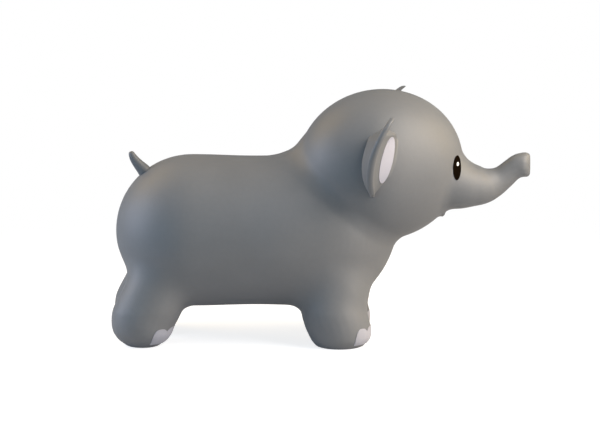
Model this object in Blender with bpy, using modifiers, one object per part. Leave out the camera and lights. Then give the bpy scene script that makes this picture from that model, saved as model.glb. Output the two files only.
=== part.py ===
"""Inflatable elephant hopper: a hollow soft-vinyl skin with bonded ears and tail, a belly valve and painted details.

Metres. +X points along the trunk, +Y to the elephant's left, +Z up; the soles stand on z = 0.
"""

import math

import bmesh
import bpy
from mathutils import Matrix, Vector

# How the pieces meet
WALL = 0.0024  # vinyl skin
SOLE_WALL = 0.0036
FIT_GAP = 0.0003  # between pieces that touch
FILM = 0.0006  # painted areas

# Torso: a barrel with round ends, lying along X
TORSO_RADIUS = 0.1088
TORSO_FRONT_X = -0.0022  # centre of its front round end, which puts x = 0 at the toy's mid length
TORSO_SPAN = 0.183  # between the centres of the round ends
WAIST_DIP = 0.0020  # how far the seat sinks at mid length
BELLY_CLEARANCE = 0.0484

# Head: an egg that lies along X with its nose end up, placed from the centre of the torso's front end
HEAD_HALF_LENGTH = 0.119
HEAD_HALF_WIDTH = 0.106
HEAD_HALF_HEIGHT = 0.108
HEAD_FORWARD = 0.0865
HEAD_RISE = 0.0950
HEAD_TILT = 10.0  # degrees

# Nape: a round bar (forward, up) from the centre of the torso's front end, which fills the back of the neck
NAPE_STATIONS = (
    (-0.080, 0.0445),
    (-0.035, 0.0535),
    (0.002, 0.0727),
    (0.028, 0.1017),
)
NAPE_RADIUS = 0.062

# Trunk: (forward, up, radius, aside) from the head's centre, root first; two bars side by side make it broader
# than high where it leaves the face
TRUNK_STATIONS = (
    (0.060, -0.0180, 0.0540, 0.0120),
    (0.098, -0.0205, 0.0465, 0.0125),
    (0.119, -0.0255, 0.0372, 0.0115),
    (0.134, -0.0283, 0.0308, 0.0085),
    (0.148, -0.0288, 0.0268, 0.0045),
    (0.161, -0.0258, 0.0226, 0.0015),
    (0.175, -0.0163, 0.0186, 0.0004),
    (0.188, -0.0050, 0.0170, 0.0004),
    (0.200, 0.0015, 0.0178, 0.0006),
    (0.2105, 0.0015, 0.0182, 0.0006),
    (0.2146, 0.0015, 0.0156, 0.0006),
)

# Lower lip, from the head's centre
LIP_FORWARD = 0.0868
LIP_DROP = 0.0700
LIP_HALF_LENGTH = 0.0055
LIP_HALF_WIDTH = 0.0130
LIP_HALF_HEIGHT = 0.0046

# Legs: (height, ahead of the foot's centre, radius, share of the spread) from the hip down to below the sole
FRONT_LEG_STATIONS = (
    (0.112, -0.0220, 0.0460, 0.72),
    (0.080, -0.0090, 0.0480, 0.90),
    (0.060, -0.0112, 0.0462, 0.98),
    (0.044, -0.0094, 0.0450, 1.00),
    (0.032, -0.0050, 0.0442, 1.00),
    (0.020, -0.0012, 0.0436, 1.00),
    (0.010, 0.0000, 0.0420, 1.00),
    (0.002, 0.0000, 0.0382, 1.00),
    (-0.006, 0.0000, 0.0300, 1.00),
)
REAR_LEG_STATIONS = (
    (0.112, 0.0260, 0.0450, 0.72),
    (0.080, 0.0180, 0.0455, 0.90),
    (0.060, 0.0090, 0.0472, 0.98),
    (0.044, 0.0030, 0.0474, 1.00),
    (0.032, 0.0003, 0.0466, 1.00),
    (0.020, 0.0000, 0.0440, 1.00),
    (0.010, 0.0000, 0.0388, 1.00),
    (0.002, 0.0000, 0.0315, 1.00),
    (-0.006, 0.0000, 0.0210, 1.00),
)
LEG_SPREAD = 0.054  # each foot's centre from the middle plane
FRONT_FOOT_AHEAD = 0.0293  # of the centre of the torso's front end
REAR_FOOT_BACK = 0.0680  # from the centre of the torso's rear end

# Soft fillets between the forms of the skin
BLEND_VOXEL = 0.0050
BLEND_ROUNDS = 170
SKIN_VOXEL = 0.0040
SKIN_ROUNDS = 5
SKIN_FACETS = 3660

# Ears: wedges that thin out towards the rim, placed from the head's centre
EAR_FORWARD = 0.005
EAR_SIDE = 0.124
EAR_RISE = 0.0310
EAR_HALF_HEIGHT = 0.062
EAR_REACH = 0.036
EAR_HALF_THICKNESS = 0.034
EAR_PINCH = 0.80  # share of the thickness lost from root to rim
EAR_POINT = 2.2  # how fast the thickness runs out towards the tips; 1 is an oval
EAR_LEAN = 0.21  # forward per metre of height
EAR_CURL = 0.0070  # how far both tips stand ahead of mid height
EAR_SWEEP = 0.10  # backward per metre of reach
EAR_FLARE = 22.0  # degrees, top outwards
EAR_WALL = 0.0030
EAR_STEPS = 26

# Ear lining: an oval on the front face, from the ear's centre
LINING_HALF_HEIGHT = 0.034
LINING_HALF_WIDTH = 0.017
LINING_OUT = 0.006
LINING_DROP = 0.003
LINING_FLARE = 16.0  # degrees, top outwards

# Tail: (back, up, radius) from its root on the rump
TAIL_ROOT_RISE = 50.0  # degrees above the level, seen from the centre of the torso's rear end
TAIL_STATIONS = (
    (-0.0157, -0.0170, 0.0115),
    (-0.0018, 0.0030, 0.0096),
    (0.0066, 0.0125, 0.0076),
    (0.0131, 0.0213, 0.0060),
    (0.0163, 0.0285, 0.0043),
    (0.0169, 0.0308, 0.0025),
)

# Eyes: ovals on the head, aimed from its centre
EYE_TURN = 19.3  # degrees from straight ahead
EYE_RISE = 1.6  # degrees
EYE_HALF_WIDTH = 0.0095
EYE_HALF_HEIGHT = 0.0180
GLINT_HALF_WIDTH = 0.0042
GLINT_HALF_HEIGHT = 0.0046
GLINT_UP = 0.0050
GLINT_AHEAD = 1.2  # degrees nearer to straight ahead than the eye

# Toenails: three lobes on the front of each foot
FRONT_NAIL_SPLAY = 6.0  # degrees that the toes point outwards
REAR_NAIL_SPLAY = 14.0
NAIL_PITCH = 31.0  # degrees from one lobe to the next
NAIL_HALF_WIDTH = 0.0118
NAIL_ARCH = 0.0150  # rise of each lobe
NAIL_HEIGHT = 0.0125  # foot of the arches above the floor
NAIL_BASE = 0.0070  # lower edge above the floor
NAIL_FOOT_RADIUS = 0.0425
NAIL_STEPS = 36

# Valve in the belly
VALVE_BACK = 0.110  # from the centre of the torso's front end
BOSS_RADIUS = 0.0210
BOSS_HEIGHT = 0.0090
FLANGE_RADIUS = 0.0160
FLANGE_HEIGHT = 0.0042
SLEEVE_RADIUS = 0.0070
SLEEVE_LENGTH = 0.0240
BORE_RADIUS = 0.0046
PLUG_HEAD_RADIUS = 0.0100
PLUG_HEAD_HEIGHT = 0.0024
PLUG_LENGTH = 0.0230
PLUG_RIB = 0.0004
PLUG_RIM = 0.0004  # bevel of the head's edge
PLUG_NOSE = 0.70  # nose radius as a share of the stem's
PLUG_TAPER = 0.80  # where along the stem the nose begins
RIB_PLACES = (0.60, 0.32)  # along the stem
RIB_SPAN = 0.06  # half of a rib's length, as a share of the stem's
THUMB_NOTCH_RADIUS = 0.0045
THUMB_NOTCH_DEPTH = 0.0018

# Places that follow from the sizes above
TORSO_AXIS_HEIGHT = BELLY_CLEARANCE + TORSO_RADIUS
TORSO_FRONT = Vector((TORSO_FRONT_X, 0.0, TORSO_AXIS_HEIGHT))
TORSO_REAR = TORSO_FRONT - Vector((TORSO_SPAN, 0.0, 0.0))
HEAD_CENTRE = TORSO_FRONT + Vector((HEAD_FORWARD, 0.0, HEAD_RISE))
VALVE_FOOT = Vector((TORSO_FRONT.x - VALVE_BACK, 0.0, BELLY_CLEARANCE))

FORWARD = Vector((1.0, 0.0, 0.0))
SIDEWAYS = Vector((0.0, 1.0, 0.0))
UP = Vector((0.0, 0.0, 1.0))
ROUND_STEPS = 32
FAR = TORSO_SPAN + 4 * TORSO_RADIUS  # cutters reach this far, past the whole toy


def clear_scene():
    for leftover in list(bpy.data.objects):
        bpy.data.objects.remove(leftover, do_unlink=True)


def new_collection(name):
    group = bpy.data.collections.new(name)
    bpy.context.scene.collection.children.link(group)
    return group


def object_from(name, mesh):
    shape = bpy.data.objects.new(name, mesh)
    bpy.context.scene.collection.objects.link(shape)
    return shape


def object_from_bmesh(name, bm):
    mesh = bpy.data.meshes.new(name)
    bm.to_mesh(mesh)
    bm.free()
    return object_from(name, mesh)


def baked(shape):
    """The object with its modifiers and placing worked into a plain mesh."""
    graph = bpy.context.evaluated_depsgraph_get()
    mesh = bpy.data.meshes.new_from_object(shape.evaluated_get(graph))
    mesh.transform(shape.matrix_world)
    name = shape.name
    bpy.data.objects.remove(shape, do_unlink=True)
    return object_from(name, mesh)


def copied(shape, name):
    return object_from(name, shape.data.copy())


def joined(name, shapes):
    bm = bmesh.new()
    for shape in shapes:
        bm.from_mesh(shape.data)
    return object_from_bmesh(name, bm)


def combined(shape, other, operation):
    """The shape after a Boolean with the other, which stays as it is."""
    step = shape.modifiers.new("boolean", "BOOLEAN")
    step.object = other
    step.operation = operation
    step.solver = "EXACT"
    return baked(shape)


def offset(shape, name, distance):
    grown = copied(shape, name)
    step = grown.modifiers.new("offset", "DISPLACE")
    step.strength = distance
    step.mid_level = 0.0
    return baked(grown)


def ball(name, centre, half_axes):
    bm = bmesh.new()
    bmesh.ops.create_uvsphere(bm, u_segments=ROUND_STEPS, v_segments=ROUND_STEPS // 2, radius=1.0)
    bmesh.ops.scale(bm, vec=half_axes, verts=bm.verts)
    bmesh.ops.translate(bm, vec=centre, verts=bm.verts)
    return object_from_bmesh(name, bm)


def tube(name, stations):
    """A round bar through (place, radius) stations, closed at both ends."""
    curve = bpy.data.curves.new(name, "CURVE")
    curve.dimensions = "3D"
    curve.bevel_depth = 1.0
    curve.bevel_resolution = 6
    curve.resolution_u = 4
    curve.use_fill_caps = True
    spline = curve.splines.new("BEZIER")
    spline.bezier_points.add(len(stations) - 1)
    for point, (place, radius) in zip(spline.bezier_points, stations):
        point.co = place
        point.radius = radius
        point.handle_left_type = "AUTO"
        point.handle_right_type = "AUTO"
    bar = baked(object_from(name, curve))
    bm = bmesh.new()
    bm.from_mesh(bar.data)
    bmesh.ops.remove_doubles(bm, verts=bm.verts, dist=1e-6)
    bmesh.ops.recalc_face_normals(bm, faces=bm.faces)
    bm.to_mesh(bar.data)
    bm.free()
    return bar


def turned(name, profile, placing):
    """A profile of (radius, height) points, top to bottom, turned about Z and then placed."""
    mesh = bpy.data.meshes.new(name)
    points = [(radius, 0.0, height) for radius, height in profile]
    edges = [(i, i + 1) for i in range(len(points) - 1)]
    mesh.from_pydata(points, edges, [])
    shape = object_from(name, mesh)
    step = shape.modifiers.new("turn", "SCREW")
    step.steps = ROUND_STEPS
    step.render_steps = ROUND_STEPS
    step.use_merge_vertices = True
    step.merge_threshold = 0.00001
    shape.matrix_world = placing
    bpy.context.view_layer.update()
    return baked(shape)


def arc(centre_height, radius, start, stop, count):
    """Profile points on a circle about the turning axis, by angle above the level."""
    points = []
    for i in range(count):
        angle = math.radians(start + (stop - start) * i / (count - 1))
        points.append((radius * math.cos(angle), centre_height + radius * math.sin(angle)))
    return points


def oval_bar(name, foot, direction, half_width, half_height):
    """A long bar of oval section that starts at foot; its height lies as near to Z as it can."""
    bm = bmesh.new()
    bmesh.ops.create_cone(
        bm, cap_ends=True, segments=ROUND_STEPS, radius1=1.0, radius2=1.0, depth=FAR
    )
    bmesh.ops.translate(bm, vec=(0.0, 0.0, FAR / 2), verts=bm.verts)
    along = direction.normalized()
    across = UP.cross(along).normalized()
    upright = along.cross(across)
    turn = Matrix((across * half_width, upright * half_height, along)).transposed().to_4x4()
    bmesh.ops.transform(bm, matrix=Matrix.Translation(foot) @ turn, verts=bm.verts)
    return object_from_bmesh(name, bm)


def aimed(turn, side, rise):
    """The direction so many degrees to a side of straight ahead and above the level."""
    turn = math.radians(turn)
    rise = math.radians(rise)
    return Vector((math.cos(turn) * math.cos(rise), side * math.sin(turn) * math.cos(rise), math.sin(rise)))


def turned_about(shape, centre, axis, degrees):
    turn = Matrix.Rotation(math.radians(degrees), 4, axis)
    shape.data.transform(Matrix.Translation(centre) @ turn @ Matrix.Translation(-centre))
    return shape


def block(name, low, high):
    bm = bmesh.new()
    bmesh.ops.create_cube(bm, size=1.0)
    bmesh.ops.translate(bm, vec=(0.5, 0.5, 0.5), verts=bm.verts)
    bmesh.ops.scale(bm, vec=Vector(high) - Vector(low), verts=bm.verts)
    bmesh.ops.translate(bm, vec=low, verts=bm.verts)
    return object_from_bmesh(name, bm)


def ground(name, top):
    """Everything below a height."""
    return block(name, (-FAR, -FAR, top - FAR), (FAR, FAR, top))


def torso_form():
    half = TORSO_SPAN / 2
    profile = arc(half, TORSO_RADIUS, 90.0, 0.0, 13)
    waist_steps = 8
    for i in range(1, waist_steps):
        share = i / waist_steps
        dip = WAIST_DIP * math.sin(math.pi * share) ** 2
        profile.append((TORSO_RADIUS - dip, half - TORSO_SPAN * share))
    profile += arc(-half, TORSO_RADIUS, 0.0, -90.0, 13)
    profile[0] = (0.0, half + TORSO_RADIUS)
    profile[-1] = (0.0, -half - TORSO_RADIUS)
    middle = (TORSO_FRONT + TORSO_REAR) / 2
    placing = Matrix.Translation(middle) @ Matrix.Rotation(math.radians(90.0), 4, "Y")
    return turned("torso_form", profile, placing)


def head_form():
    egg = ball("head_form", HEAD_CENTRE, (HEAD_HALF_LENGTH, HEAD_HALF_WIDTH, HEAD_HALF_HEIGHT))
    return turned_about(egg, HEAD_CENTRE, SIDEWAYS, -HEAD_TILT)


def trunk_form(side):
    stations = []
    for forward, rise, radius, aside in TRUNK_STATIONS:
        stations.append((HEAD_CENTRE + Vector((forward, side * aside, rise)), radius))
    return tube("trunk_form", stations)


def nape_form():
    stations = []
    for forward, rise in NAPE_STATIONS:
        stations.append((TORSO_FRONT + Vector((forward, 0.0, rise)), NAPE_RADIUS))
    return tube("nape_form", stations)


def lip_form():
    centre = HEAD_CENTRE + Vector((LIP_FORWARD, 0.0, -LIP_DROP))
    return ball("lip_form", centre, (LIP_HALF_LENGTH, LIP_HALF_WIDTH, LIP_HALF_HEIGHT))


def foot_centre(front, side):
    x = TORSO_FRONT.x + FRONT_FOOT_AHEAD if front else TORSO_REAR.x - REAR_FOOT_BACK
    return Vector((x, side * LEG_SPREAD, 0.0))


def leg_form(front, side):
    foot = foot_centre(front, side)
    stations = []
    for height, ahead, radius, spread in FRONT_LEG_STATIONS if front else REAR_LEG_STATIONS:
        stations.append((Vector((foot.x + ahead, foot.y * spread, height)), radius))
    return tube("leg_form", stations)


def evenly_meshed(shape, voxel, rounds):
    step = shape.modifiers.new("even mesh", "REMESH")
    step.mode = "VOXEL"
    step.voxel_size = voxel
    step = shape.modifiers.new("soften", "SMOOTH")
    step.factor = 0.5
    step.iterations = rounds
    return baked(shape)


def thinned(shape, facets):
    """The same surface in about so many triangles."""
    shape.data.calc_loop_triangles()
    step = shape.modifiers.new("thin out", "DECIMATE")
    step.ratio = facets / len(shape.data.loop_triangles)
    step.use_collapse_triangulate = True
    return baked(shape)


def soft_body():
    """Torso, head, trunk and legs with soft fillets where they meet."""
    forms = [torso_form(), head_form(), nape_form(), lip_form()]
    for side in (-1.0, 1.0):
        forms.append(trunk_form(side))
        forms.append(leg_form(True, side))
        forms.append(leg_form(False, side))
    fillets = evenly_meshed(joined("fillets", forms), BLEND_VOXEL, BLEND_ROUNDS)
    return evenly_meshed(joined("soft_body", forms + [fillets]), SKIN_VOXEL, SKIN_ROUNDS)


def valve_height(above):
    return VALVE_FOOT + UP * above


def round_bar(name, foot, radius, height):
    """An upright round bar that starts at foot."""
    bm = bmesh.new()
    bmesh.ops.create_cone(
        bm, cap_ends=True, segments=ROUND_STEPS, radius1=radius, radius2=radius, depth=height
    )
    bmesh.ops.translate(bm, vec=foot + UP * (height / 2), verts=bm.verts)
    return object_from_bmesh(name, bm)


def ear_centre(side):
    return HEAD_CENTRE + Vector((EAR_FORWARD, side * EAR_SIDE, EAR_RISE))


def make_skin(form, outer):
    """The hollow moulding: outer form less its air space, opened by the valve seat's stepped hole."""
    air = offset(form, "air", -WALL)
    air = combined(air, ground("sole_level", SOLE_WALL), "DIFFERENCE")
    boss = round_bar("boss", valve_height(-BOSS_HEIGHT), BOSS_RADIUS, 2 * BOSS_HEIGHT)
    air = combined(air, boss, "DIFFERENCE")
    skin = combined(copied(outer, "skin"), air, "DIFFERENCE")
    counterbore = round_bar(
        "counterbore", valve_height(-FLANGE_HEIGHT), FLANGE_RADIUS + FIT_GAP, 2 * FLANGE_HEIGHT + FIT_GAP
    )
    skin = combined(skin, counterbore, "DIFFERENCE")
    sleeve_hole = round_bar("sleeve_hole", VALVE_FOOT, SLEEVE_RADIUS + FIT_GAP, SLEEVE_LENGTH)
    return combined(skin, sleeve_hole, "DIFFERENCE")


def ear_form(name, side, half_thickness, reach, half_height):
    """An ear: a ball flattened into a wedge, leaned forward and flared outwards."""
    bm = bmesh.new()
    bmesh.ops.create_uvsphere(bm, u_segments=EAR_STEPS, v_segments=EAR_STEPS // 2, radius=1.0)
    for vert in bm.verts:
        ahead, aside, rise = vert.co
        slice_size = max(math.sqrt(max(1.0 - rise * rise, 0.0)), 1e-6)
        outwards = side * aside / slice_size
        thickness = half_thickness * slice_size**EAR_POINT * (1.0 - EAR_PINCH * (1.0 + outwards) / 2)
        lean = EAR_LEAN * rise * half_height + EAR_CURL * rise * rise - EAR_SWEEP * side * aside * reach
        vert.co = (ahead / slice_size * thickness + lean, aside * reach, rise * half_height)
    flare = Matrix.Rotation(math.radians(-side * EAR_FLARE), 4, "X")
    bmesh.ops.transform(bm, matrix=Matrix.Translation(ear_centre(side)) @ flare, verts=bm.verts)
    return object_from_bmesh(name, bm)


def make_ear(name, side, outer):
    """A hollow ear, open at its root, cut to sit on the head, and its painted lining."""
    solid = ear_form("ear_solid", side, EAR_HALF_THICKNESS, EAR_REACH, EAR_HALF_HEIGHT)
    air = ear_form(
        "ear_air",
        side,
        EAR_HALF_THICKNESS - 2 * EAR_WALL,
        EAR_REACH - 3 * EAR_WALL,
        EAR_HALF_HEIGHT - 3 * EAR_WALL,
    )
    ear = combined(copied(solid, "ear_" + name), air, "DIFFERENCE")
    ear = combined(ear, offset(outer, "ear_seat", FIT_GAP), "DIFFERENCE")
    centre = ear_centre(side) + Vector((0.0, side * LINING_OUT, -LINING_DROP))
    outline = oval_bar("lining_outline", centre, FORWARD, LINING_HALF_WIDTH, LINING_HALF_HEIGHT)
    outline = turned_about(outline, centre, FORWARD, -side * LINING_FLARE)
    lining = film("ear_lining_" + name, solid, outline, FORWARD)
    return ear, lining


def tail_root():
    rise = math.radians(TAIL_ROOT_RISE)
    return TORSO_REAR + Vector((-math.cos(rise), 0.0, math.sin(rise))) * TORSO_RADIUS


def make_tail(outer):
    stations = []
    for back, rise, radius in TAIL_STATIONS:
        stations.append((tail_root() + Vector((-back, 0.0, rise)), radius))
    seat = offset(outer, "tail_seat", FIT_GAP)
    return combined(tube("tail", stations), seat, "DIFFERENCE")


def film(name, base, outline, aim):
    """The paint inside an outline: the patch of a base that faces the aim, lifted off it and thickened."""
    patch = copied(base, name)
    patch.data.materials.append(bpy.data.materials.new("base surface"))
    edge = bpy.data.materials.new("outline wall")
    outline.data.materials.append(edge)
    step = patch.modifiers.new("outline", "BOOLEAN")
    step.object = outline
    step.operation = "INTERSECT"
    step.solver = "EXACT"
    step.material_mode = "TRANSFER"
    patch = baked(patch)
    bm = bmesh.new()
    bm.from_mesh(patch.data)
    spare = []
    for face in bm.faces:
        on_wall = patch.data.materials[face.material_index] == edge
        if on_wall or face.normal.dot(aim) < 0.0:
            spare.append(face)
    bmesh.ops.delete(bm, geom=spare, context="FACES")
    bm.to_mesh(patch.data)
    bm.free()
    step = patch.modifiers.new("lift", "DISPLACE")
    step.strength = FIT_GAP
    step.mid_level = 0.0
    step = patch.modifiers.new("thicken", "SOLIDIFY")
    step.thickness = FILM
    step.offset = 1.0
    return baked(patch)


def make_eye(name, side, outer):
    aim = aimed(EYE_TURN, side, EYE_RISE)
    outline = oval_bar("eye_outline", HEAD_CENTRE, aim, EYE_HALF_WIDTH, EYE_HALF_HEIGHT)
    eye = film("eye_" + name, outer, outline, aim)
    aim = aimed(EYE_TURN - GLINT_AHEAD, side, EYE_RISE)
    spot = oval_bar(
        "glint_outline", HEAD_CENTRE + UP * GLINT_UP, aim, GLINT_HALF_WIDTH, GLINT_HALF_HEIGHT
    )
    glint = film("eye_highlight_" + name, eye, spot, aim)
    return eye, glint


def nail_outline(name, foot, aim):
    """A bar whose section is a row of three arched lobes, seen along the toes' direction."""
    across = UP.cross(aim)
    lobes = []
    for turn in (-NAIL_PITCH, 0.0, NAIL_PITCH):
        turn = math.radians(turn)
        lobes.append((NAIL_FOOT_RADIUS * math.sin(turn), NAIL_HALF_WIDTH * math.cos(turn)))
    reach = lobes[-1][0] + lobes[-1][1]
    section = [(reach, NAIL_BASE), (-reach, NAIL_BASE)]
    for i in range(NAIL_STEPS + 1):
        aside = reach * (2 * i / NAIL_STEPS - 1)
        arch = 0.0
        for centre, half_width in lobes:
            arch = max(arch, 1.0 - ((aside - centre) / half_width) ** 2)
        section.append((aside, NAIL_HEIGHT + NAIL_ARCH * math.sqrt(arch)))
    bm = bmesh.new()
    start = bm.faces.new([bm.verts.new(foot + across * aside + UP * height) for aside, height in section])
    end = bmesh.ops.extrude_face_region(bm, geom=[start])["geom"]
    end_verts = [item for item in end if isinstance(item, bmesh.types.BMVert)]
    bmesh.ops.translate(bm, vec=aim * (2 * NAIL_FOOT_RADIUS), verts=end_verts)
    bmesh.ops.recalc_face_normals(bm, faces=bm.faces)
    return object_from_bmesh(name, bm)


def make_toenails(name, front, side, outer):
    splay = FRONT_NAIL_SPLAY if front else REAR_NAIL_SPLAY
    aim = aimed(splay, side, 0.0)
    outline = nail_outline("nail_outline", foot_centre(front, side), aim)
    return film("toenails_" + name, outer, outline, aim)


def make_valve_seat():
    """A flange with a sunk round seat for the plug's head, and a sleeve up into the air space."""
    sunk_radius = PLUG_HEAD_RADIUS + FIT_GAP
    sunk_height = PLUG_HEAD_HEIGHT + FIT_GAP
    profile = (
        (BORE_RADIUS, SLEEVE_LENGTH),
        (SLEEVE_RADIUS, SLEEVE_LENGTH),
        (SLEEVE_RADIUS, FLANGE_HEIGHT),
        (FLANGE_RADIUS, FLANGE_HEIGHT),
        (FLANGE_RADIUS, 0.0),
        (sunk_radius, 0.0),
        (sunk_radius, sunk_height),
        (BORE_RADIUS, sunk_height),
        (BORE_RADIUS, SLEEVE_LENGTH),
    )
    seat = turned("valve_seat", profile, Matrix.Translation(VALVE_FOOT))
    notch_drop = THUMB_NOTCH_RADIUS - THUMB_NOTCH_DEPTH
    notch_centre = VALVE_FOOT + FORWARD * sunk_radius - UP * notch_drop
    notch = ball("thumb_notch", notch_centre, (THUMB_NOTCH_RADIUS, THUMB_NOTCH_RADIUS, THUMB_NOTCH_RADIUS))
    return combined(seat, notch, "DIFFERENCE")


def make_valve_plug():
    """A flat head and a stem with two ribs and a tapered nose."""
    rib = BORE_RADIUS - FIT_GAP
    stem = rib - PLUG_RIB
    run = PLUG_LENGTH - PLUG_HEAD_HEIGHT
    profile = [
        (0.0, PLUG_LENGTH),
        (stem * PLUG_NOSE, PLUG_LENGTH),
        (stem, PLUG_HEAD_HEIGHT + run * PLUG_TAPER),
    ]
    for place in RIB_PLACES:
        profile.append((stem, PLUG_HEAD_HEIGHT + run * (place + RIB_SPAN)))
        profile.append((rib, PLUG_HEAD_HEIGHT + run * place))
        profile.append((stem, PLUG_HEAD_HEIGHT + run * (place - RIB_SPAN)))
    profile += [
        (stem, PLUG_HEAD_HEIGHT),
        (PLUG_HEAD_RADIUS, PLUG_HEAD_HEIGHT),
        (PLUG_HEAD_RADIUS, PLUG_RIM),
        (PLUG_HEAD_RADIUS - PLUG_RIM, 0.0),
        (0.0, 0.0),
    ]
    return turned("valve_plug", profile, Matrix.Translation(VALVE_FOOT))


def finished(shape, origin, colour, roughness):
    """Give a piece its origin, its smooth shading and a material of its own."""
    shape.data.transform(Matrix.Translation(-origin))
    shape.location = origin
    shape.data.shade_smooth()
    shape.data.set_sharp_from_angle(angle=math.radians(SHARP_EDGE))
    material = bpy.data.materials.new(shape.name)
    material.use_nodes = True
    surface = material.node_tree.nodes["Principled BSDF"]
    surface.inputs["Base Color"].default_value = (*colour, 1.0)
    surface.inputs["Roughness"].default_value = roughness
    shape.data.materials.clear()
    shape.data.materials.append(material)


GREY = (0.20, 0.20, 0.205)
DARK_GREY = (0.15, 0.15, 0.155)
PALE = (0.62, 0.60, 0.60)
BLACK = (0.012, 0.011, 0.010)
WHITE = (0.85, 0.85, 0.85)
SATIN = 0.45
GLOSS = 0.25
SHARP_EDGE = 40.0  # degrees


def build():
    clear_scene()
    form = thinned(soft_body(), SKIN_FACETS)
    outer = combined(copied(form, "outer"), ground("floor", 0.0), "DIFFERENCE")

    pieces = []

    def add(shape, origin, colour, roughness):
        finished(shape, origin, colour, roughness)
        pieces.append(shape)

    add(make_skin(form, outer), Vector((0.0, 0.0, 0.0)), GREY, SATIN)
    add(make_tail(outer), tail_root(), DARK_GREY, SATIN)
    add(make_valve_seat(), VALVE_FOOT, DARK_GREY, SATIN)
    add(make_valve_plug(), VALVE_FOOT, DARK_GREY, SATIN)
    for name, side in (("right", -1.0), ("left", 1.0)):
        ear, lining = make_ear(name, side, outer)
        add(ear, ear_centre(side), GREY, SATIN)
        add(lining, ear_centre(side), PALE, SATIN)
        eye, glint = make_eye(name, side, outer)
        add(eye, HEAD_CENTRE, BLACK, GLOSS)
        add(glint, HEAD_CENTRE, WHITE, GLOSS)
        for end, front in (("front", True), ("rear", False)):
            nails = make_toenails(end + "_" + name, front, side, outer)
            add(nails, foot_centre(front, side), PALE, SATIN)

    parts = new_collection("elephant_hopper")
    helpers = new_collection("cutters")
    for shape in list(bpy.context.scene.collection.objects):
        bpy.context.scene.collection.objects.unlink(shape)
        if shape in pieces:
            parts.objects.link(shape)
        else:
            helpers.objects.link(shape)
            shape.hide_render = True
            shape.display_type = "WIRE"


build()
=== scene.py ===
import math

import bmesh
import bpy
from mathutils import Matrix, Vector


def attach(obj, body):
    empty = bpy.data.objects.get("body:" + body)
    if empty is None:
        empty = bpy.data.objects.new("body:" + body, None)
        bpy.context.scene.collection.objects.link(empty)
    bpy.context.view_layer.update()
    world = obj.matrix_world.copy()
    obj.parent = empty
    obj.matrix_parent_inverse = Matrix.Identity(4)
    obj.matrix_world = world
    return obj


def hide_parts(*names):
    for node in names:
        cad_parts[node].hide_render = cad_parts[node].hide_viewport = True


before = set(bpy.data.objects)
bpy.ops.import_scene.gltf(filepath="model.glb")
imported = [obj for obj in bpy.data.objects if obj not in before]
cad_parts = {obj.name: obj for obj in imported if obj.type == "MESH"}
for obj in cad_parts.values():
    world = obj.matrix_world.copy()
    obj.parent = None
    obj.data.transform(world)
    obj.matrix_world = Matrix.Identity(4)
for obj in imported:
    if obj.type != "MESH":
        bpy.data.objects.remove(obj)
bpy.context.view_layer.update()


# Moulded skin
# The elephant is one hollow moulding of soft grey vinyl, pumped up with air: a barrel body, an egg-shaped
# head, a short trunk and four stub legs, run into each other by soft fillets. The soles are moulded flat.
FORWARD = Vector((1.0, 0.0, 0.0))
UP = Vector((0.0, 0.0, 1.0))
SIDES = (("right", -1), ("left", 1))

torso_radius = 0.1088
torso_span = 0.183  # between the centres of its round ends
belly_clearance = 0.0484
torso_front = Vector((-0.0022, 0.0, belly_clearance + torso_radius))
torso_rear = torso_front - FORWARD * torso_span
torso_arc_steps = 16
waist_dip = 0.0020
chest_from = -0.075  # the barrel narrows from here
chest_to = 0.030  # to here
chest_narrowing = 0.10

head_ahead = 0.0865
head_up = 0.0950
head_centre = torso_front + FORWARD * head_ahead + UP * head_up
head_half_axes = (0.119, 0.106, 0.108)
head_tilt = math.radians(10.0)
face_from = -0.012  # the head narrows from here, ahead of its centre
face_to = 0.075  # to here
face_narrowing = 0.10

# The nape is a bar: ahead of and above the centre of the torso's front end.
nape_radius = 0.062
nape_breadth = 0.80
nape_run = ((-0.080, 0.0445), (-0.035, 0.0535), (0.002, 0.0727), (0.028, 0.1017))

# The trunk is two bars side by side: ahead of and above the head's centre, radius, place off the middle.
trunk_run = (
    (0.060, -0.0190, 0.0530, 0.0060),
    (0.098, -0.0225, 0.0450, 0.0082),
    (0.119, -0.0280, 0.0348, 0.0100),
    (0.134, -0.0300, 0.0290, 0.0085),
    (0.148, -0.0302, 0.0256, 0.0045),
    (0.161, -0.0265, 0.0219, 0.0015),
    (0.175, -0.0190, 0.0176, 0.0004),
    (0.188, -0.0078, 0.0162, 0.0004),
    (0.200, -0.0007, 0.0173, 0.0006),
    (0.2105, 0.0000, 0.0182, 0.0006),
    (0.2146, 0.0000, 0.0156, 0.0006),
)
trunk_taper_from = 0.160
trunk_taper_length = 0.050
trunk_taper = 0.16
trunk_end_from = 0.2030
trunk_end_length = 0.0118
trunk_end_rounding = 0.40
lip_place = head_centre + Vector((0.0893, 0.0, -0.0718))
lip_half_axes = (0.0046, 0.0115, 0.0038)

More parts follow.
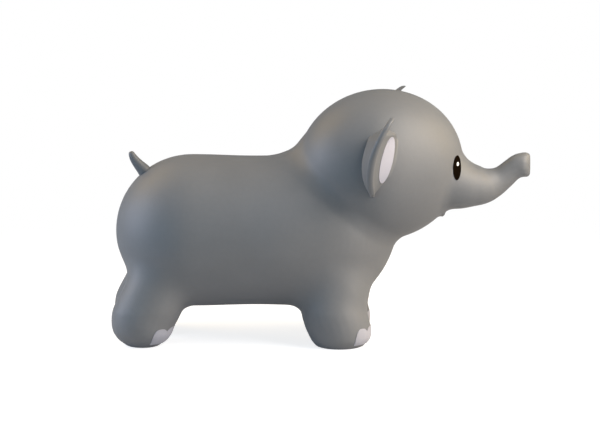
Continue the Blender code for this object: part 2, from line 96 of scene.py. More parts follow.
# A leg is a bar: height, place ahead of the foot's middle, radius, place sideways in foot spreads.
foot_spread = 0.054
front_foot_x = 0.0271
front_leg_run = (
    (0.150, -0.0260, 0.0370, 1.08),
    (0.112, -0.0180, 0.0440, 0.92),
    (0.080, -0.0045, 0.0482, 0.84),
    (0.060, -0.0096, 0.0472, 0.91),
    (0.044, -0.0074, 0.0462, 0.98),
    (0.032, -0.0032, 0.0452, 1.00),
    (0.020, 0.0002, 0.0442, 1.00),
    (0.010, 0.0006, 0.0425, 1.00),
    (0.002, 0.0009, 0.0365, 1.00),
    (-0.006, 0.0014, 0.0280, 1.00),
)
rear_foot_x = -0.2532
rear_leg_run = (
    (0.112, 0.0260, 0.0450, 0.72),
    (0.080, 0.0192, 0.0452, 0.90),
    (0.060, 0.0092, 0.0462, 0.98),
    (0.044, 0.0010, 0.0460, 1.00),
    (0.032, -0.0012, 0.0454, 1.00),
    (0.020, -0.0014, 0.0427, 1.00),
    (0.010, -0.0014, 0.0362, 1.00),
    (0.002, -0.0014, 0.0258, 1.00),
    (-0.006, -0.0014, 0.0145, 1.00),
)

fillet_voxel = 0.0050
fillet_rounds = 110
skin_voxel = 0.0029
skin_rounds = 8
skin_crease = math.radians(40.0)
leg_top_low = 0.052
leg_top_full_low = 0.072
leg_top_full_high = 0.112
leg_top_high = 0.136
leg_top_rounds = 170
sole_edge = 0.0040
sole_rounds = 4
valve_back = 0.110  # from the centre of the torso's front end
valve_sunk = 0.0032
valve_place = Vector((torso_front.x - valve_back, 0.0, belly_clearance + valve_sunk))
valve_pocket_radius = 0.0163
valve_pocket_depth = 0.0300
turning_steps = 72
seam_gap = 0.00001
smoothing_step = 0.5  # how far each round takes a point to the middle of its neighbours


def start_clean():
    """Leaves edit mode and deselects everything, the frame's own nodes among it."""
    if bpy.context.mode != "OBJECT":
        bpy.ops.object.mode_set(mode="OBJECT")
    bpy.ops.object.select_all(action="DESELECT")


def only(piece):
    """Makes a piece the only selected one and the active one."""
    start_clean()
    piece.select_set(True)
    bpy.context.view_layer.objects.active = piece


def apply_place(piece):
    only(piece)
    bpy.ops.object.transform_apply(location=True, rotation=True, scale=True)


def finish_with(piece, kind, **settings):
    """Adds one modifier with its settings and applies it."""
    only(piece)
    step = piece.modifiers.new(kind.lower(), kind)
    for name, value in settings.items():
        setattr(step, name, value)
    bpy.ops.object.modifier_apply(modifier=step.name)


def remould(piece, voxel, rounds):
    """Makes a piece of crossing forms into one even mesh, and smooths it."""
    finish_with(piece, "REMESH", mode="VOXEL", voxel_size=voxel)
    finish_with(piece, "SMOOTH", factor=smoothing_step, iterations=rounds)


def cut(piece, tool, operation):
    finish_with(piece, "BOOLEAN", object=tool, operation=operation, solver="EXACT")


def shade(piece, crease):
    only(piece)
    bpy.ops.object.shade_smooth_by_angle(angle=crease)


def close_up(piece):
    """Merges doubled points, which closes seams and poles, and turns every face outwards."""
    only(piece)
    bpy.ops.object.mode_set(mode="EDIT")
    bpy.ops.mesh.select_all(action="SELECT")
    bpy.ops.mesh.remove_doubles(threshold=seam_gap)
    bpy.ops.mesh.normals_make_consistent(inside=False)
    bpy.ops.object.mode_set(mode="OBJECT")


def spun(name, profile, place, axis):
    """Draws a profile of (radius, along) points by extruding one point, and spins it about the axis."""
    start_clean()
    across = axis.orthogonal().normalized()
    points = [place + across * radius + axis * along for radius, along in profile]
    bpy.ops.mesh.primitive_plane_add(size=0.01, enter_editmode=True)
    bpy.ops.mesh.merge(type="CENTER")
    bpy.ops.transform.translate(value=points[0])
    for here, there in zip(points, points[1:]):
        bpy.ops.mesh.extrude_region_move(TRANSFORM_OT_translate={"value": there - here})
    bpy.ops.mesh.select_all(action="SELECT")
    bpy.ops.mesh.spin(steps=turning_steps, angle=math.tau, center=place, axis=axis)
    bpy.ops.object.mode_set(mode="OBJECT")
    piece = bpy.context.object
    piece.name = name
    close_up(piece)
    return piece


def drawn_bar(name, stations):
    """A round bar through (place, radius) stations: a bevelled curve, turned into a closed mesh."""
    start_clean()
    bpy.ops.curve.primitive_bezier_curve_add(location=(0.0, 0.0, 0.0))
    bar = bpy.context.object
    bar.name = name
    bar.data.bevel_depth = 1.0
    bar.data.bevel_resolution = 10
    bar.data.resolution_u = 8
    bar.data.use_fill_caps = True
    run = bar.data.splines[0].bezier_points
    run.add(len(stations) - len(run))
    for point, (place, radius) in zip(run, stations):
        point.co = place
        point.radius = radius
        point.handle_left_type = "AUTO"
        point.handle_right_type = "AUTO"
    bpy.ops.object.convert(target="MESH")
    close_up(bar)
    return bar


def placed_ball(name, place, half_axes, tilt=0.0):
    start_clean()
    bpy.ops.mesh.primitive_uv_sphere_add(
        segments=64,
        ring_count=40,
        radius=1.0,
        location=place,
        rotation=(0.0, tilt, 0.0),
        scale=half_axes,
    )
    ball = bpy.context.object
    ball.name = name
    apply_place(ball)
    return ball


def joined(name, forms):
    only(forms[0])
    for form in forms:
        form.select_set(True)
    bpy.ops.object.join()
    piece = bpy.context.object
    piece.name = name
    return piece


def copy_of(piece, name):
    only(piece)
    bpy.ops.object.duplicate()
    twin = bpy.context.object
    twin.name = name
    return twin


def clamped(share):
    return min(1.0, max(0.0, share))


def eased(share):
    """A share of 0 to 1 that starts and ends softly."""
    share = clamped(share)
    return share * share * (3.0 - 2.0 * share)


def torso_profile():
    """Half outline of the barrel from pole to pole, the front one first: an arc, a dip and an arc."""
    half = torso_span / 2
    quarter = math.pi / 2
    arc = [quarter * i / torso_arc_steps for i in range(torso_arc_steps + 1)]
    profile = []
    for turn in reversed(arc):
        profile.append((torso_radius * math.cos(turn), half + torso_radius * math.sin(turn)))
    for i in range(1, torso_arc_steps):
        share = i / torso_arc_steps
        dip = waist_dip * math.sin(math.pi * share) ** 2
        profile.append((torso_radius - dip, half - torso_span * share))
    for turn in arc:
        profile.append((torso_radius * math.cos(turn), -half - torso_radius * math.sin(turn)))
    return profile


def head_form(name, grown):
    """The egg of the head, narrowed towards the face and grown by so much all round."""
    ball = placed_ball(name, head_centre, [half + grown for half in head_half_axes], -head_tilt)
    for point in ball.data.vertices:
        share = (point.co.x - head_centre.x - face_from) / (face_to - face_from)
        point.co.y *= 1.0 - face_narrowing * eased(share)
    return ball


def leg(name, foot_x, run, side):
    stations = []
    for height, ahead, radius, spread in run:
        stations.append((Vector((foot_x + ahead, side * foot_spread * spread, height)), radius))
    return drawn_bar(name, stations)


barrel = spun("barrel", torso_profile(), (torso_front + torso_rear) / 2, FORWARD)
for point in barrel.data.vertices:
    share = (point.co.x - chest_from) / (chest_to - chest_from)
    point.co.y *= 1.0 - chest_narrowing * eased(share)
nape = drawn_bar("nape", [(torso_front + FORWARD * x + UP * z, nape_radius) for x, z in nape_run])
for point in nape.data.vertices:
    point.co.y *= nape_breadth
forms = [
    barrel,
    nape,
    head_form("head", 0.0),
    placed_ball("lip", lip_place, lip_half_axes),
]
for side_name, side in SIDES:
    trunk_half = [(head_centre + Vector((x, side * y, z)), radius) for x, z, radius, y in trunk_run]
    forms.append(drawn_bar("trunk_half", trunk_half))
    forms.append(leg("front_leg", front_foot_x, front_leg_run, side))
    forms.append(leg("rear_leg", rear_foot_x, rear_leg_run, side))
skin = joined("skin", forms)

# A smoothed copy bridges the corners between the forms, and together they make one skin with fillets.
fillets = copy_of(skin, "fillets")
remould(fillets, fillet_voxel, fillet_rounds)
skin = joined("moulded_skin", [skin, fillets])
remould(skin, skin_voxel, skin_rounds)

# The legs run into the side without a bump: their tops are smoothed over once more.
leg_tops = skin.vertex_groups.new(name="leg_tops")
for point in skin.data.vertices:
    from_below = (point.co.z - leg_top_low) / (leg_top_full_low - leg_top_low)
    from_above = (leg_top_high - point.co.z) / (leg_top_high - leg_top_full_high)
    leg_tops.add([point.index], clamped(min(from_below, from_above)), "REPLACE")
finish_with(skin, "SMOOTH", factor=smoothing_step, iterations=leg_top_rounds, vertex_group="leg_tops")
skin.vertex_groups.clear()

# The trunk tapers, and its end is rounded over.
for point in skin.data.vertices:
    beyond = point.co.x - head_centre.x
    taper = clamped((beyond - trunk_taper_from) / trunk_taper_length)
    rounding = clamped((beyond - trunk_end_from) / trunk_end_length)
    point.co.y *= 1.0 - trunk_taper * taper - trunk_end_rounding * rounding * rounding


# The soles are pressed flat on the floor, and their edges rounded over.
def select_below(height):
    mesh = bmesh.from_edit_mesh(bpy.context.object.data)
    for point in mesh.verts:
        point.select_set(point.co.z < height)
    mesh.select_flush_mode()
    bmesh.update_edit_mesh(bpy.context.object.data)


def press_soles_flat():
    select_below(0.0)
    bpy.ops.transform.resize(value=(1.0, 1.0, 0.0), center_override=(0.0, 0.0, 0.0))


only(skin)
bpy.ops.object.mode_set(mode="EDIT")
bpy.ops.mesh.select_mode(type="VERT")
press_soles_flat()
select_below(sole_edge)
bpy.ops.mesh.vertices_smooth(factor=smoothing_step, repeat=sole_rounds)
bpy.ops.mesh.select_all(action="DESELECT")
press_soles_flat()
bpy.ops.object.mode_set(mode="OBJECT")

# The belly has a round pocket for the valve.
start_clean()
bpy.ops.mesh.primitive_cylinder_add(
    vertices=turning_steps,
    radius=valve_pocket_radius,
    depth=2 * valve_pocket_depth,
    location=valve_place,
)
pocket = bpy.context.object
apply_place(pocket)
cut(skin, pocket, "DIFFERENCE")
bpy.data.objects.remove(pocket, do_unlink=True)
shade(skin, skin_crease)


def new_group(name, inputs, outputs):
    """A shader node group with its sockets; inputs are (name, value), all plain numbers."""
    group = bpy.data.node_groups.new(name, "ShaderNodeTree")
    for socket, value in inputs:
        made = group.interface.new_socket(socket, in_out="INPUT", socket_type="NodeSocketFloat")
        made.default_value = value
    for socket in outputs:
        group.interface.new_socket(socket, in_out="OUTPUT", socket_type="NodeSocketFloat")
    return group, group.nodes.new("NodeGroupInput"), group.nodes.new("NodeGroupOutput")


def noise(tree, coordinates, detail, roughness):
    node = tree.nodes.new("ShaderNodeTexNoise")
    node.inputs["Detail"].default_value = detail
    node.inputs["Roughness"].default_value = roughness
    tree.links.new(coordinates.outputs["Object"], node.inputs["Vector"])
    return node


def combined(tree, operation, first, second):
    node = tree.nodes.new("ShaderNodeMath")
    node.operation = operation
    tree.links.new(first, node.inputs[0])
    tree.links.new(second, node.inputs[1])
    return node.outputs[0]


# Vinyl mottle: slow cloudy shade from the pigment, with a finer speckle in it.
mottle_low = 0.36
mottle_high = 0.64
vinyl_mottle, mottle_in, mottle_out = new_group(
    "vinyl_mottle",
    [("Cloud Scale", 9.0), ("Speckle Scale", 160.0), ("Speckle", 0.25)],
    ["Shade"],
)
place_node = vinyl_mottle.nodes.new("ShaderNodeTexCoord")
clouds = noise(vinyl_mottle, place_node, detail=3.0, roughness=0.5)
speckle = noise(vinyl_mottle, place_node, detail=2.0, roughness=0.6)
vinyl_mottle.links.new(mottle_in.outputs["Cloud Scale"], clouds.inputs["Scale"])
vinyl_mottle.links.new(mottle_in.outputs["Speckle Scale"], speckle.inputs["Scale"])
mixed = vinyl_mottle.nodes.new("ShaderNodeMix")
vinyl_mottle.links.new(mottle_in.outputs["Speckle"], mixed.inputs[0])
vinyl_mottle.links.new(clouds.outputs["Fac"], mixed.inputs[2])
vinyl_mottle.links.new(speckle.outputs["Fac"], mixed.inputs[3])
vinyl_mottle.links.new(mixed.outputs[0], mottle_out.inputs["Shade"])

# Moulded grain: the faint orange peel and fine tooth that the mould leaves in soft vinyl.
grain_depth = 0.002
moulded_grain, grain_in, grain_out = new_group(
    "moulded_grain",
    [("Peel Scale", 55.0), ("Tooth Scale", 900.0), ("Tooth", 0.12)],
    ["Height"],
)
place_node = moulded_grain.nodes.new("ShaderNodeTexCoord")
peel = noise(moulded_grain, place_node, detail=2.0, roughness=0.5)
tooth = noise(moulded_grain, place_node, detail=1.0, roughness=0.5)
moulded_grain.links.new(grain_in.outputs["Peel Scale"], peel.inputs["Scale"])
moulded_grain.links.new(grain_in.outputs["Tooth Scale"], tooth.inputs["Scale"])
tooth_height = combined(moulded_grain, "MULTIPLY", tooth.outputs["Fac"], grain_in.outputs["Tooth"])
height = combined(moulded_grain, "ADD", peel.outputs["Fac"], tooth_height)
moulded_grain.links.new(height, grain_out.inputs["Height"])


def vinyl(name, dark, light, roughness, bump=0.04):
    """A soft plastic surface: two shades by the mottle, roughness by the same, and the mould's grain."""
    material = bpy.data.materials.new(name)
    material.use_nodes = True
    tree = material.node_tree
    shader = tree.nodes["Principled BSDF"]
    mottle = tree.nodes.new("ShaderNodeGroup")
    mottle.node_tree = vinyl_mottle
    colours = tree.nodes.new("ShaderNodeValToRGB")
    colours.color_ramp.elements[0].position = mottle_low
    colours.color_ramp.elements[0].color = (*dark, 1.0)
    colours.color_ramp.elements[1].position = mottle_high
    colours.color_ramp.elements[1].color = (*light, 1.0)
    tree.links.new(mottle.outputs["Shade"], colours.inputs["Fac"])
    tree.links.new(colours.outputs["Color"], shader.inputs["Base Color"])
    rough = tree.nodes.new("ShaderNodeMapRange")
    rough.inputs["From Min"].default_value = mottle_low
    rough.inputs["From Max"].default_value = mottle_high
    rough.inputs["To Min"].default_value = roughness[0]
    rough.inputs["To Max"].default_value = roughness[1]
    tree.links.new(mottle.outputs["Shade"], rough.inputs["Value"])
    tree.links.new(rough.outputs["Result"], shader.inputs["Roughness"])
    grain = tree.nodes.new("ShaderNodeGroup")
    grain.node_tree = moulded_grain
    relief = tree.nodes.new("ShaderNodeBump")
    relief.inputs["Strength"].default_value = bump
    relief.inputs["Distance"].default_value = grain_depth
    tree.links.new(grain.outputs["Height"], relief.inputs["Height"])
    tree.links.new(relief.outputs["Normal"], shader.inputs["Normal"])
    return material


def dress(piece, material, body, slot, *nodes):
    """Gives a finished piece its material and its body, and hides the frame's nodes that it stands for;
    slot is not used.
    """
    piece.data.materials.clear()
    piece.data.materials.append(material)
    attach(piece, body)
    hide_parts(*nodes)


grey_vinyl = vinyl(
    "grey_vinyl",
    dark=(0.172, 0.172, 0.172),
    light=(0.190, 0.190, 0.190),
    roughness=(0.48, 0.56),
)
dress(skin, grey_vinyl, "elephant", "skin_vinyl", "skin")


# Ears
# Two hollow vinyl wedges bonded to the sides of the head, which the child holds on to. Each has a full
# back, a rounded rim and a hollowed front, and runs out to a point at the top and at the bottom.
ears_middle = head_centre + Vector((-0.0128, 0.0, 0.0307))
ear_side = 0.124
ear_half_height = 0.0655
ear_reach = 0.036
ear_front_root = 0.0368
ear_back_root = 0.0132
ear_root_sink = 0.006
ear_bead = 0.0054
ear_groove = 0.0012
ear_lean = {"right": 0.0134, "left": 0.0365}  # soft ears don't stand alike
ear_curl = 0.0142
ear_flare = math.radians(22.0)
ear_droop = 0.002
ear_draw_rounds = 2
ear_fillet_voxel = 0.0022
ear_fillet_rounds = 26
ear_voxel = 0.0014
ear_rounds = 3
ear_crease = math.radians(60.0)
collar_height = 0.014
front_reach = 0.060
skirt_sink = 0.0004
skirt_depth = 0.0040
skirt_reach = (0.062, 0.070, 0.085)

# Towards the upper tip each of these is whole up to the first share of the half height, and gone at the
# second: the root's hold on the head, the full back and the hollowed front.
root_run = (0.30, 0.80)
back_run = (0.40, 0.70)
front_run = (0.40, 0.76)

# Powers that round the ear: how the bead, the lower back and the front thin out towards the tips, how the
# front hollows from root to rim, and how the back swells and drops to the rim.
bead_fade = 0.25
back_fade = 1.5
front_fade = 2.3
front_hollow = 1.4
back_swell = 2.2
back_drop = 0.6
least_back = 0.4  # half thickness behind the rim, as a share of the bead
root_rounding = 0.1  # share of the reach
least_slice = 1e-9  # so that the slices at the tips have a size


def kept_below(rise, run):
    """The share of a feature that is left at a rise, from whole to gone along its run."""
    whole_to, gone_at = run
    return eased((gone_at - rise) / (gone_at - whole_to))


def ear_slice(out, rise, slice_size, lean, front):
    """Places a point of a level slice: ahead of, outwards from and above the middle between the ears."""
    half_reach = ear_reach * slice_size * math.cos(ear_flare)
    flared_out = ear_side + rise * ear_half_height * math.sin(ear_flare)
    flared_up = rise * ear_half_height * math.cos(ear_flare)
    rim_out = flared_out + half_reach
    rim_up = flared_up + ear_droop * slice_size
    root_out = flared_out - half_reach
    root_up = flared_up - ear_droop * slice_size
    level = (ears_middle.z + root_up - head_centre.z) / head_half_axes[2]
    on_head = head_half_axes[1] * math.sqrt(max(0.0, 1.0 - level * level)) - ear_root_sink
    root_out += (on_head - root_out) * kept_below(rise, root_run)
    span = math.hypot(rim_out - root_out, rim_up - root_up)
    bead = ear_bead * slice_size**bead_fade
    from_bead = (1.0 - out) * span - bead
    half = math.sqrt(max(0.0, bead * bead - from_bead * from_bead))
    if front:
        fullness = min(1.0 - abs(rise) ** front_fade, kept_below(rise, front_run))
        wall = ear_front_root * fullness * (1.0 - out) ** front_hollow - ear_groove * slice_size
    else:
        fullness = kept_below(rise, back_run) if rise > 0.0 else slice_size**back_fade
        swell = ear_back_root * fullness * (1.0 - out**back_swell) ** back_drop
        wall = max(swell, least_back * bead)
    if from_bead >= 0.0:
        half = max(half, wall)
    if out < root_rounding:
        half *= math.sqrt(max(0.0, 1.0 - (1.0 - out / root_rounding) ** 2))
    ahead = (half if front else -half) + lean * rise + ear_curl * rise * rise
    return ahead, root_out + (rim_out - root_out) * out, root_up + (rim_up - root_up) * out


def run_into_head(piece):
    """Fills the corner between ear and head with a soft fillet, and leaves a skirt under the skin."""
    name = piece.name
    middle = sum((point.co for point in piece.data.vertices), Vector()) / len(piece.data.vertices)
    base = head_form("ear_base", -skirt_sink)
    around = placed_ball("around_ear", middle, skirt_reach)
    cut(base, around, "INTERSECT")
    fillet = joined("ear_fillet", [copy_of(piece, "ear_copy"), base])
    remould(fillet, ear_fillet_voxel, ear_fillet_rounds)
    collar = head_form("collar", collar_height)
    ahead = placed_ball("ahead_of_ear", middle + FORWARD * front_reach, [front_reach] * 3)
    for limit in (collar, ahead):
        cut(fillet, limit, "INTERSECT")
    piece = joined(name, [piece, fillet])
    remould(piece, ear_voxel, ear_rounds)
    core = head_form("ear_core", -skirt_depth)
    cut(piece, core, "DIFFERENCE")
    for helper in (around, collar, ahead, core):
        bpy.data.objects.remove(helper, do_unlink=True)
    shade(piece, ear_crease)
    return piece


def ear(name, side, lean):
    """A ball drawn into a wedge, slice by slice, and run into the head."""
    start_clean()
    bpy.ops.mesh.primitive_uv_sphere_add(segments=160, ring_count=110, radius=1.0)
    piece = bpy.context.object
    piece.name = name
    for point in piece.data.vertices:
        ahead, aside, rise = point.co
        slice_size = math.sqrt(max(1.0 - rise * rise, least_slice))
        out = clamped((1.0 + side * aside / slice_size) / 2)
        forward, outwards, up = ear_slice(out, rise, slice_size, lean, ahead > 0.0)
        point.co = ears_middle + Vector((forward, side * outwards, up))
    finish_with(piece, "SMOOTH", factor=smoothing_step, iterations=ear_draw_rounds)
    close_up(piece)
    return run_into_head(piece)


ears = {}
for side_name, side in SIDES:
    ears[side] = ear("vinyl_ear_" + side_name, side, ear_lean[side_name])
    dress(ears[side], grey_vinyl, "elephant", "ear_vinyl", "ear_" + side_name)


# Ear linings
# A pale pink-grey oval of paint on the hollowed front of each ear. It is sprayed on through a mask, as a
# thin film with a clean edge that follows the surface under it.
lining_half_width = 0.0086
lining_half_height = 0.0338
lining_ahead = {"right": 0.0202, "left": 0.0150}
lining_drop = 0.0057
lining_lean = {"right": math.radians(12.3), "left": math.radians(33.0)}
paint_lift = 0.0002
paint_film = 0.0005
paint_crease = math.radians(50.0)
stand_off = 0.10  # where a patch starts, out from the surface that it is pressed on
oval_rings = 14
oval_ring_width = 0.066  # of a disc with a radius of 1


def paint_on(patch, target, **direction):
    """Presses a patch backwards on to a surface, a hair above it, and gives it the film of the paint."""
    finish_with(
        patch,
        "SHRINKWRAP",
        target=target,
        wrap_method="PROJECT",
        use_negative_direction=True,
        use_positive_direction=False,
        offset=paint_lift,
        **direction,
    )
    apply_place(patch)
    finish_with(patch, "SOLIDIFY", thickness=paint_film, offset=1.0)
    shade(patch, paint_crease)


def painted_oval(name, place, aim, half_width, half_height, target, lean=0.0):
    """An oval of paint: a ringed disc, pressed against its aim on to the surface behind it."""
    start_clean()
    bpy.ops.mesh.primitive_circle_add(vertices=64, radius=1.0, fill_type="NGON", enter_editmode=True)
    for ring in range(oval_rings):
        bpy.ops.mesh.inset(thickness=oval_ring_width)
    bpy.ops.mesh.poke()
    bpy.ops.object.mode_set(mode="OBJECT")
    oval = bpy.context.object
    oval.name = name
    oval.scale = (half_width, half_height, 1.0)
    apply_place(oval)
    turn = aim.to_track_quat("Z", "Y").to_matrix().to_4x4() @ Matrix.Rotation(lean, 4, "Z")
    oval.matrix_world = Matrix.Translation(place + aim * stand_off) @ turn
    paint_on(oval, target, use_project_z=True)
    return oval


lining_paint = vinyl(
    "lining_paint",
    dark=(0.425, 0.416, 0.470),
    light=(0.465, 0.457, 0.510),
    roughness=(0.50, 0.60),
)
for side_name, side in SIDES:
    lining = painted_oval(
        "painted_lining_" + side_name,
        ears_middle + Vector((lining_ahead[side_name], side * ear_side, -lining_drop)),
        Vector((0.0, side, 0.0)),
        lining_half_width,
        lining_half_height,
        ears[side],
        side * lining_lean[side_name],
    )
    dress(lining, lining_paint, "elephant", "lining_paint", "ear_lining_" + side_name)


# Tail
# A short solid horn of grey vinyl, bonded to the rump; its grey is set darker than the skin's. It bends
# upwards, from a broad root to a small rounded tip.
tail_rise = math.radians(50.0)
tail_root = torso_rear + torso_radius * Vector((-math.cos(tail_rise), 0.0, math.sin(tail_rise)))
tail_voxel = 0.0011
tail_rounds = 8

# Behind and above the root, and radius.
tail_run = (
    (-0.0157, -0.0170, 0.0115),
    (-0.0018, 0.0030, 0.0096),
    (0.0066, 0.0125, 0.0076),
    (0.0131, 0.0213, 0.0060),
    (0.0163, 0.0285, 0.0043),
    (0.0169, 0.0308, 0.0025),
)
tail_stations = [(tail_root - FORWARD * back + UP * up, radius) for back, up, radius in tail_run]
tail = drawn_bar("vinyl_tail", tail_stations)
remould(tail, tail_voxel, tail_rounds)
only(tail)
bpy.ops.object.shade_smooth()
tail_grey = vinyl(
    "tail_grey",
    dark=(0.142, 0.142, 0.142),
    light=(0.158, 0.158, 0.158),
    roughness=(0.48, 0.56),
)
dress(tail, tail_grey, "elephant", "tail_vinyl", "tail")


# Eyes
# Upright ovals of black-brown paint on both sides of the trunk's root, sprayed through a mask, each with a
# small white spot printed on it.
eye_ahead = 0.1084
eye_up = 0.0024
eye_half_width = 0.0058
eye_half_height = 0.0168
glint_half_width = 0.0016
glint_half_height = 0.0027
glint_up = 0.0052
glint_ahead = 0.0010
smooth_paint = 0.02
eye_paint = vinyl(
    "eye_paint",
    dark=(0.0050, 0.0030, 0.0015),
    light=(0.0075, 0.0045, 0.0022),
    roughness=(0.22, 0.30),
    bump=smooth_paint,
)
eye_paint.node_tree.nodes["Principled BSDF"].inputs["Specular IOR Level"].default_value = 0.0
glint_paint = vinyl(
    "highlight_paint",
    dark=(0.84, 0.83, 0.81),
    light=(0.90, 0.89, 0.87),
    roughness=(0.20, 0.28),
    bump=smooth_paint,
)
for side_name, side in SIDES:
    outwards = Vector((0.0, side, 0.0))
    eye_place = head_centre + FORWARD * eye_ahead + UP * eye_up
    eye = painted_oval(
        "painted_eye_" + side_name,
        eye_place,
        outwards,
        eye_half_width,
        eye_half_height,
        skin,
    )
    dress(eye, eye_paint, "elephant", "eye_paint", "eye_" + side_name)
    glint = painted_oval(
        "painted_highlight_" + side_name,
        eye_place + FORWARD * glint_ahead + UP * glint_up,
        outwards,
        glint_half_width,
        glint_half_height,
        eye,
    )
    dress(glint, glint_paint, "elephant", "highlight_paint", "eye_highlight_" + side_name)


# Toenails
# A pale patch of three round-topped nails on the front of each foot, sprayed on like the ear linings and
# kept clear of the sole.
feet = {"front": front_foot_x, "rear": rear_foot_x}
nail_splay = {"front": 14.7, "rear": 19.9}  # degrees that the toes point outwards
nail_pitch = {"front": 30.4, "rear": 34.0}  # degrees from nail to nail
nail_height = 0.0300
nail_notch = 0.0052
nail_base = 0.0062
nail_start_radius = 0.060
nails_each_way = 1.5
outer_corner = 3.0  # powers: how square the outer nails end, and how narrow the notches are
notch_narrowness = 2.5


def nail_top(share):
    """Upper edge of the patch, by the place along it, in nails from the middle one."""
    nail = max(-1.0, min(1.0, round(share)))
    off_middle = abs(2.0 * (share - nail))
    if abs(share) > 1.0:
        return nail_base + (nail_height - nail_base) * math.sqrt(1.0 - off_middle**outer_corner)
    return nail_height - nail_notch * off_middle**notch_narrowness


def toenails(name, foot, toes, pitch):
    """A fine grid bent round the foot, drawn into three lobes and pressed inwards on to it."""
    start_clean()
    bpy.ops.mesh.primitive_grid_add(x_subdivisions=120, y_subdivisions=16, size=2.0)
    patch = bpy.context.object
    patch.name = name
    for point in patch.data.vertices:
        share = nails_each_way * point.co.x
        height = nail_base + (nail_top(share) - nail_base) * (point.co.y + 1.0) / 2.0
        angle = math.radians(toes + share * pitch)
        outwards = Vector((math.cos(angle), math.sin(angle), 0.0))
        point.co = foot + outwards * nail_start_radius + UP * height
    paint_on(patch, skin)
    return patch


nail_paint = vinyl(
    "nail_paint",
    dark=(0.39, 0.382, 0.415),
    light=(0.432, 0.424, 0.458),
    roughness=(0.45, 0.55),
)
for side_name, side in SIDES:
    for end, foot_x in feet.items():
        place_name = end + "_" + side_name
        foot = Vector((foot_x, side * foot_spread, 0.0))
        nails = toenails("painted_toenails_" + place_name, foot, side * nail_splay[end], nail_pitch[end])
        dress(nails, nail_paint, "elephant", "nail_paint", "toenails_" + place_name)


# Valve seat
# A flanged sleeve of grey vinyl bonded into the belly, flush with it. It has a sunk ring for the plug's
# head, with a notch for a thumb nail, and a bore that the stem is pushed into.
flange_radius = 0.0160
flange_height = 0.0042
sleeve_radius = 0.0070
sleeve_length = 0.0240
bore_radius = 0.0049
ring_radius = 0.0103
ring_depth = 0.0027
thumb_notch_radius = 0.0045
seat_edge = 0.0005
valve_crease = math.radians(40.0)
seat_profile = (
    (ring_radius, 0.0),
    (flange_radius, 0.0),
    (flange_radius, flange_height),
    (sleeve_radius, flange_height),
    (sleeve_radius, sleeve_length),
    (bore_radius, sleeve_length),
    (bore_radius, ring_depth),
    (ring_radius, ring_depth),
    (ring_radius, 0.0),
)


def soften_edges(piece, width, segments):
    finish_with(
        piece,
        "BEVEL",
        width=width,
        segments=segments,
        limit_method="ANGLE",
        angle_limit=valve_crease,
    )


seat = spun("valve_sleeve", seat_profile, valve_place, UP)
soften_edges(seat, seat_edge, segments=3)
notch_place = valve_place + FORWARD * ring_radius - UP * ring_depth
notch = placed_ball("thumb_notch", notch_place, [thumb_notch_radius] * 3)
cut(seat, notch, "DIFFERENCE")
bpy.data.objects.remove(notch, do_unlink=True)
shade(seat, valve_crease)
valve_vinyl = vinyl(
    "valve_vinyl",
    dark=(0.225, 0.222, 0.220),
    light=(0.250, 0.246, 0.243),
    roughness=(0.34, 0.42),
)
dress(seat, valve_vinyl, "elephant", "valve_vinyl", "valve_seat")


# Valve plug
# A push-in stopper of firmer, paler vinyl, moulded in one: a flat head that lies in the seat's ring, and a
# stem with two holding ribs and a tapered nose.
plug_head_radius = 0.0100
plug_head_height = 0.0024
plug_head_edge = 0.0004
plug_stem_radius = 0.0045
plug_rib = 0.0004
plug_ribs = ((0.0078, 0.0090, 0.0102), (0.0135, 0.0148, 0.0160))  # foot, crest and foot of each
plug_nose_from = 0.0190
plug_nose_radius = 0.0032
plug_length = 0.0230
plug_edge = 0.0003
plug_profile = [
    (0.0, 0.0),
    (plug_head_radius - plug_head_edge, 0.0),
    (plug_head_radius, plug_head_edge),
    (plug_head_radius, plug_head_height - plug_head_edge),
    (plug_head_radius - plug_head_edge, plug_head_height),
    (plug_stem_radius, plug_head_height),
]
for low_foot, crest, high_foot in plug_ribs:
    plug_profile.append((plug_stem_radius, low_foot))
    plug_profile.append((plug_stem_radius + plug_rib, crest))
    plug_profile.append((plug_stem_radius, high_foot))
plug_profile.append((plug_stem_radius, plug_nose_from))
plug_profile.append((plug_nose_radius, plug_length))
plug_profile.append((0.0, plug_length))
plug = spun("valve_stopper", plug_profile, valve_place, UP)
soften_edges(plug, plug_edge, segments=2)
shade(plug, valve_crease)
plug_vinyl = vinyl(
    "plug_vinyl",
    dark=(0.62, 0.61, 0.59),
    light=(0.68, 0.67, 0.65),
    roughness=(0.36, 0.44),
)
dress(plug, plug_vinyl, "plug", "plug_vinyl", "valve_plug")


# Studio
# A pale floor, lit from below like a shooting table, runs out into a white surround. To the camera, two
# soft boxes stand near right, a warm one right, cool ones left and near left, a warm one past the rump.
floor_size = 6.0
floor_whole = 0.35  # the floor fades from this distance
floor_gone = 1.0  # to this one
floor_colour = (0.50, 0.50, 0.50, 1.0)
floor_roughness = 0.9
floor_glow = (0.113, 0.118, 0.142, 1.0)  # what the toy gets from it
floor_glow_seen = (0.80, 0.80, 0.80, 1.0)  # what the camera sees
air_colour = (0.55, 0.77, 1.0, 1.0)
air_strength = 0.262
toy_middle = Vector((0.0, 0.0, 0.17))
box_distance = 1.5
box_size = 1.1

# Degrees to the right of the camera, degrees above the level, watts and colour.
soft_boxes = {
    "key_high": (60.0, 45.0, 19.3, (1.0, 0.955, 0.92)),
    "key_low": (60.0, 15.0, 10.5, (1.0, 0.935, 0.88)),
    "right": (90.0, 30.0, 9.6, (1.0, 0.68, 0.22)),
    "left": (270.0, 15.0, 13.8, (0.70, 0.78, 0.98)),
    "front_low": (314.0, 3.0, 2.0, (0.30, 0.72, 1.0)),
    "rump": (245.0, 40.0, 8.2, (1.0, 0.65, 0.18)),
}

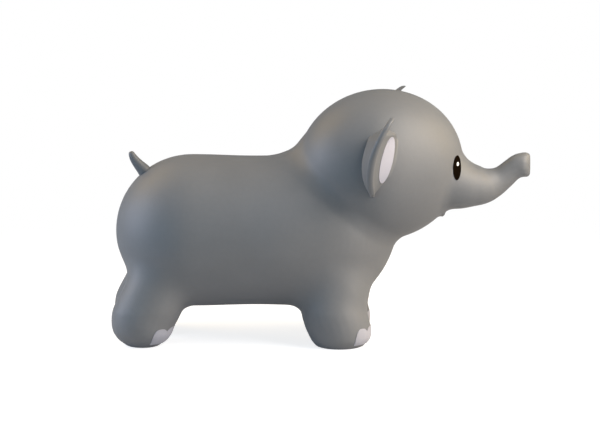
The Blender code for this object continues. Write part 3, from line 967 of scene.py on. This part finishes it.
# The camera stands far back with a long lens, a little above the toy.
view_turn = math.radians(0.1)
view_rise = math.radians(10.4)
view_distance = 6.0
view_middle = Vector((0.0013, 0.0, 0.165))
view_left = 0.03155  # the aim lies this far left of the middle
view_lift = 0.00645  # and this far above it
view_sensor = 36.0  # millimetres, as is the lens
view_lens = 251.04
view_end = 100.0

start_clean()
bpy.ops.mesh.primitive_plane_add(size=floor_size)
floor = bpy.context.object
floor.name = "studio_floor"
floor_paint = bpy.data.materials.new("pale_floor")
floor_paint.use_nodes = True
tree = floor_paint.node_tree
shader = tree.nodes["Principled BSDF"]
shader.inputs["Base Color"].default_value = floor_colour
shader.inputs["Roughness"].default_value = floor_roughness
shader.inputs["Specular IOR Level"].default_value = 0.0
place_node = tree.nodes.new("ShaderNodeTexCoord")
distance = tree.nodes.new("ShaderNodeVectorMath")
distance.operation = "LENGTH"
tree.links.new(place_node.outputs["Object"], distance.inputs[0])
fade = tree.nodes.new("ShaderNodeMapRange")
fade.interpolation_type = "SMOOTHSTEP"
fade.inputs["From Min"].default_value = floor_whole
fade.inputs["From Max"].default_value = floor_gone
fade.inputs["To Min"].default_value = 1.0
fade.inputs["To Max"].default_value = 0.0
tree.links.new(distance.outputs["Value"], fade.inputs["Value"])
tree.links.new(fade.outputs["Result"], shader.inputs["Alpha"])
ray = tree.nodes.new("ShaderNodeLightPath")
glow = tree.nodes.new("ShaderNodeMixRGB")
glow.inputs["Color1"].default_value = floor_glow
glow.inputs["Color2"].default_value = floor_glow_seen
tree.links.new(ray.outputs["Is Camera Ray"], glow.inputs["Fac"])
tree.links.new(glow.outputs["Color"], shader.inputs["Emission Color"])
shader.inputs["Emission Strength"].default_value = 1.0
floor.data.materials.append(floor_paint)


def towards(turn, rise):
    """The direction so far to the right of the camera and so far above the level, both in radians."""
    level = math.cos(rise)
    return Vector((math.sin(turn) * level, -math.cos(turn) * level, math.sin(rise)))


for name, (turn, rise, power, colour) in soft_boxes.items():
    start_clean()
    out = towards(math.radians(turn), math.radians(rise))
    bpy.ops.object.light_add(type="AREA", location=toy_middle + out * box_distance)
    box = bpy.context.object
    box.name = name
    box.data.shape = "DISK"
    box.data.size = box_size
    box.data.energy = power
    box.data.color = colour
    box.rotation_euler = out.to_track_quat("Z", "Y").to_euler()

# The air lights the toy from all round, and the camera sees it as plain white.
surround = bpy.data.worlds.new("white_surround")
bpy.context.scene.world = surround
surround.use_nodes = True
tree = surround.node_tree
air = tree.nodes["Background"]
air.inputs["Color"].default_value = air_colour
air.inputs["Strength"].default_value = air_strength
white = tree.nodes.new("ShaderNodeBackground")
white.inputs["Color"].default_value = (1.0, 1.0, 1.0, 1.0)
ray = tree.nodes.new("ShaderNodeLightPath")
seen = tree.nodes.new("ShaderNodeMixShader")
tree.links.new(ray.outputs["Is Camera Ray"], seen.inputs[0])
tree.links.new(air.outputs[0], seen.inputs[1])
tree.links.new(white.outputs[0], seen.inputs[2])
tree.links.new(seen.outputs[0], tree.nodes["World Output"].inputs["Surface"])

view_right = Vector((math.cos(view_turn), math.sin(view_turn), 0.0))
view_back = towards(view_turn, view_rise)
view_up = view_back.cross(view_right)
view_aim = view_middle - view_right * view_left + view_up * view_lift
start_clean()
bpy.ops.object.camera_add(
    location=view_aim + view_back * view_distance,
    rotation=view_back.to_track_quat("Z", "Y").to_euler(),
)
camera = bpy.context.object
camera.data.sensor_width = view_sensor
camera.data.lens = view_lens
camera.data.clip_end = view_end
bpy.context.scene.camera = camera
bpy.context.scene.view_settings.view_transform = "Standard"
